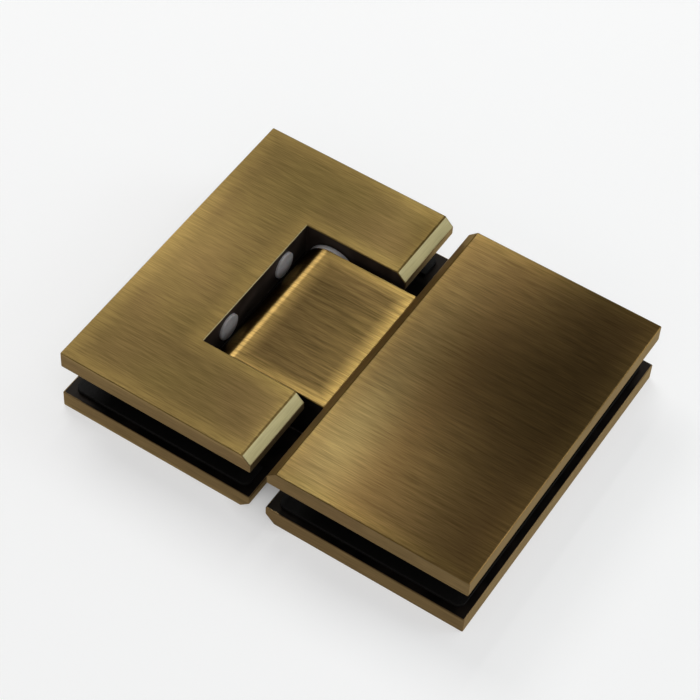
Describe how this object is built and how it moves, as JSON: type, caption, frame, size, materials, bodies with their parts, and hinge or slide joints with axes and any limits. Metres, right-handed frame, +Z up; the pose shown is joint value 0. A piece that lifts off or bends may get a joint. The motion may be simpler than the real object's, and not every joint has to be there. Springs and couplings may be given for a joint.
{
  "type": "glass door hinge",
  "caption": "Self-centring glass-to-glass shower door hinge: beveled brass leaves clamp the panes over gaskets and turn about a fixed pin.",
  "frame": {"origin": "middle of the closed hinge's outline, on the underside of its back plates", "axes": "+X across the leaves from the notched leaf to the plain one, +Y along the pivot, +Z up, square to the glass"},
  "size_m": [0.1138, 0.09, 0.0202],
  "materials": {
    "antique_brass": "brushed antique brass, darkened and lacquered",
    "gasket_rubber": "black sheet gasket",
    "grey_nylon": "satin grey nylon",
    "pin_steel": "ground stainless steel",
    "spring_steel": "oiled spring steel wire",
    "screw_steel": "stainless steel screws"
  },
  "bodies": {
    "notched_leaf": {"notched_front_leaf": "antique_brass", "notched_back_leaf": "antique_brass", "notched_front_gasket": "gasket_rubber", "notched_back_gasket": "gasket_rubber", "pivot_pin": "pin_steel", "pin_lock_screw_1": "screw_steel", "pin_lock_screw_2": "screw_steel", "front_stop_buffer_1": "grey_nylon", "front_stop_buffer_2": "grey_nylon", "back_stop_buffer_1": "grey_nylon", "back_stop_buffer_2": "grey_nylon", "notched_clamp_screw_1": "screw_steel", "notched_clamp_screw_2": "screw_steel", "notched_clamp_screw_3": "screw_steel", "notched_clamp_screw_4": "screw_steel"},
    "plain_leaf": {"pivot_block": "antique_brass", "plain_front_leaf": "antique_brass", "plain_back_leaf": "antique_brass", "plain_front_gasket": "gasket_rubber", "plain_back_gasket": "gasket_rubber", "pin_bush_1": "grey_nylon", "pin_bush_2": "grey_nylon", "plunger_1": "pin_steel", "plunger_2": "pin_steel", "plunger_spring_1": "spring_steel", "plunger_spring_2": "spring_steel", "spring_adjuster_1": "screw_steel", "spring_adjuster_2": "screw_steel", "plain_clamp_screw_1": "screw_steel", "plain_clamp_screw_2": "screw_steel", "plain_clamp_screw_3": "screw_steel", "plain_clamp_screw_4": "screw_steel"}
  },
  "joints": [
    {"name": "pivot", "type": "hinge", "parent": "notched_leaf", "child": "plain_leaf", "pos_m": [-0.02295, 0, 0.0101], "axis": [0, 1, 0], "range_deg": [-90, 90]}
  ]
}
